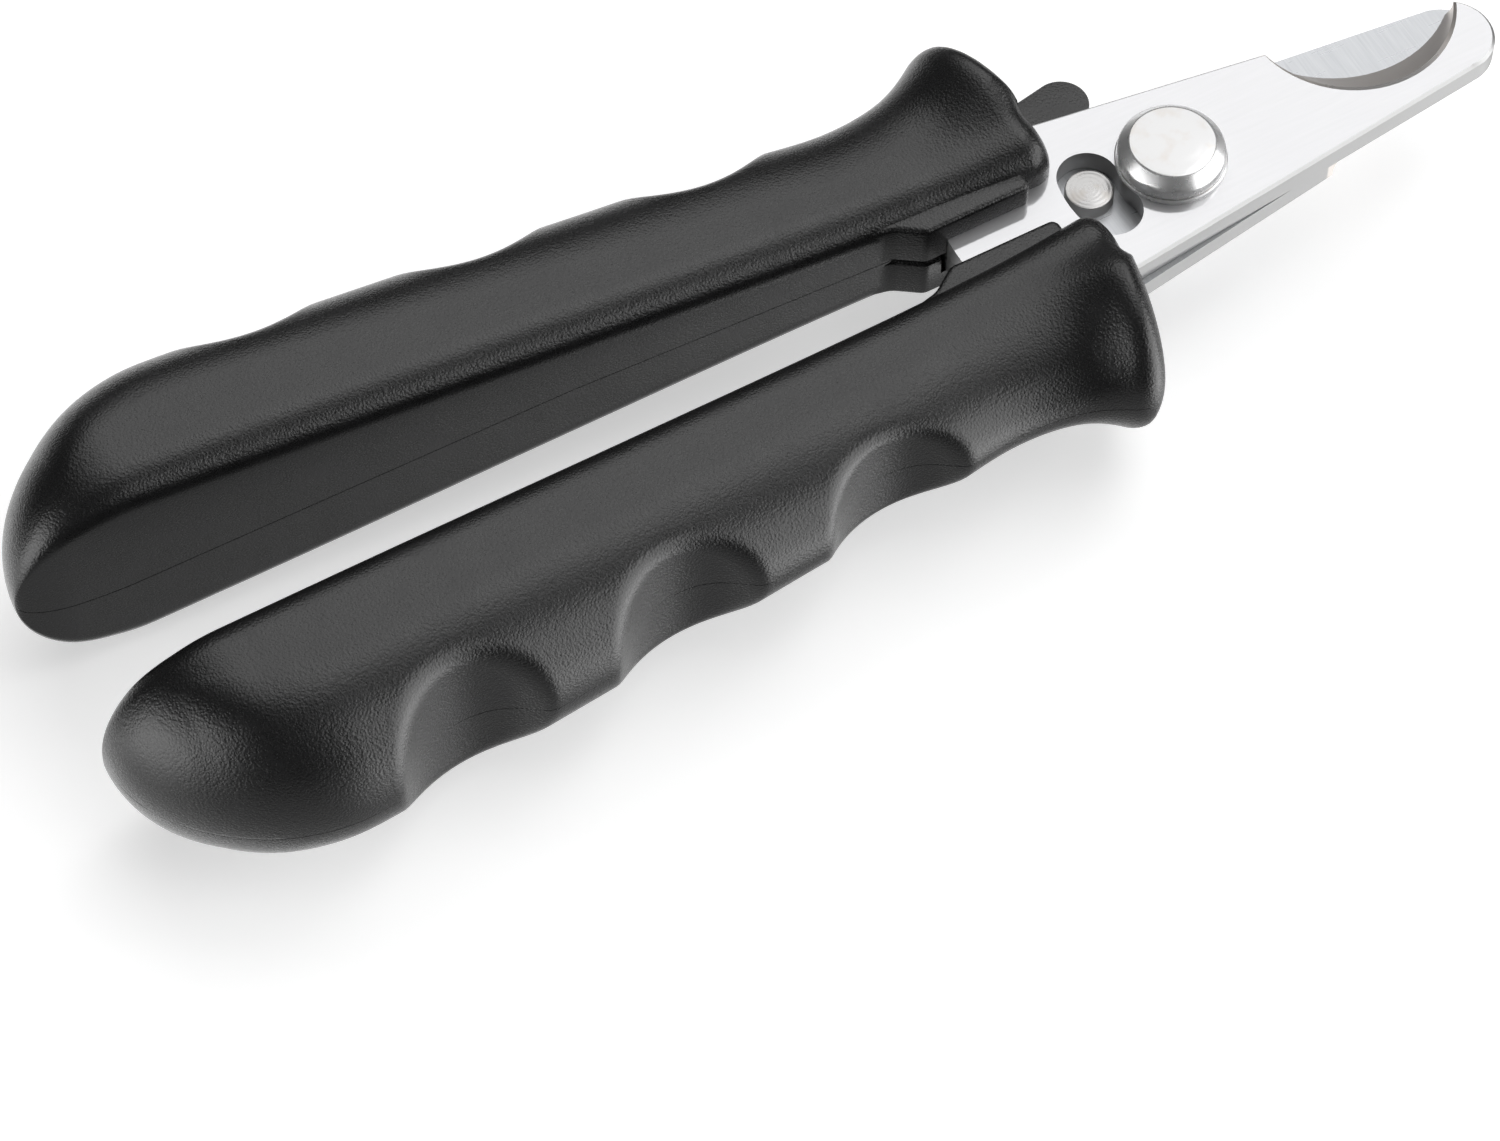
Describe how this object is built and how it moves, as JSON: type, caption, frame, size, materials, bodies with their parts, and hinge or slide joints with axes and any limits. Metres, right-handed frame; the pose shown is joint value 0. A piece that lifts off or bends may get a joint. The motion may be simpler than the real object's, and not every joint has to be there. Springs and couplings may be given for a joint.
{
  "type": "scissor nail clipper",
  "caption": "Pliers-style pet nail clipper: crossed notched blades on a bolt, grooved black handles, a curved-slot opening stop, a hidden return spring and a swinging lock lever.",
  "frame": {"origin": "on the pivot axis, level with the outer face of the pivot nut and the end of the pivot bolt, which are flush; the blades meet in the plane 11 mm above it", "axes": "+Z along the pivot bolt towards its round head, +X towards the blade tips, +Y towards the upper handle, which carries the top blade"},
  "size_m": [0.1582, 0.052, 0.0256],
  "materials": {
    "top_blade": "mirror polished stainless steel, fine chamfered rim",
    "bottom_blade": "ground and polished stainless steel, fine crosswise grain on the meeting face",
    "upper_handle_top_shell": "black, fine pebble grain, satin sheen",
    "upper_handle_bottom_shell": "black, fine pebble grain, satin sheen",
    "lower_handle_top_shell": "black, fine pebble grain, satin sheen",
    "lower_handle_bottom_shell": "black, fine pebble grain, satin sheen",
    "upper_handle_screws": "zinc-plated, machined",
    "lower_handle_screws": "zinc-plated, machined",
    "upper_tang_dowel": "ground",
    "lower_tang_dowel": "ground",
    "pivot_bolt": "polished head with faint turning marks",
    "pivot_head_washer": "polished",
    "pivot_sleeve": "turned",
    "torsion_spring": "drawn spring wire",
    "spring_retainer": "stamped, zinc-plated",
    "pivot_lock_washer": "split, zinc-plated",
    "pivot_nut": "zinc-plated, machined",
    "stop_pin": "turned end face",
    "lock_lever": "black, fine grain",
    "lock_lever_pin": "ground",
    "lock_lever_washer": "nylon"
  },
  "bodies": {
    "upper_lever": {"top_blade": "top_blade", "upper_handle_top_shell": "upper_handle_top_shell", "upper_handle_bottom_shell": "upper_handle_bottom_shell", "upper_handle_screws": "upper_handle_screws", "upper_tang_dowel": "upper_tang_dowel", "pivot_bolt": "pivot_bolt", "pivot_head_washer": "pivot_head_washer", "pivot_sleeve": "pivot_sleeve", "torsion_spring": "torsion_spring", "spring_retainer": "spring_retainer", "pivot_lock_washer": "pivot_lock_washer", "pivot_nut": "pivot_nut", "lock_lever_pin": "lock_lever_pin", "lock_lever_washer": "lock_lever_washer"},
    "lower_lever": {"bottom_blade": "bottom_blade", "lower_handle_top_shell": "lower_handle_top_shell", "lower_handle_bottom_shell": "lower_handle_bottom_shell", "lower_handle_screws": "lower_handle_screws", "lower_tang_dowel": "lower_tang_dowel", "stop_pin": "stop_pin"},
    "lock_lever": {"lock_lever": "lock_lever"}
  },
  "joints": [
    {"name": "blade_pivot", "type": "hinge", "parent": "upper_lever", "child": "lower_lever", "pos_m": [0, 0, 0.011], "axis": [0, 0, 1], "range_deg": [0, 29], "stiffness_Nm_per_rad": 0.12, "springref_deg": 50.02, "deforming": ["torsion_spring"]},
    {"name": "lock_pivot", "type": "hinge", "parent": "upper_lever", "child": "lock_lever", "pos_m": [-0.017, 0.011, 0.007], "axis": [0, 0, 1], "range_deg": [0, 16]}
  ]
}
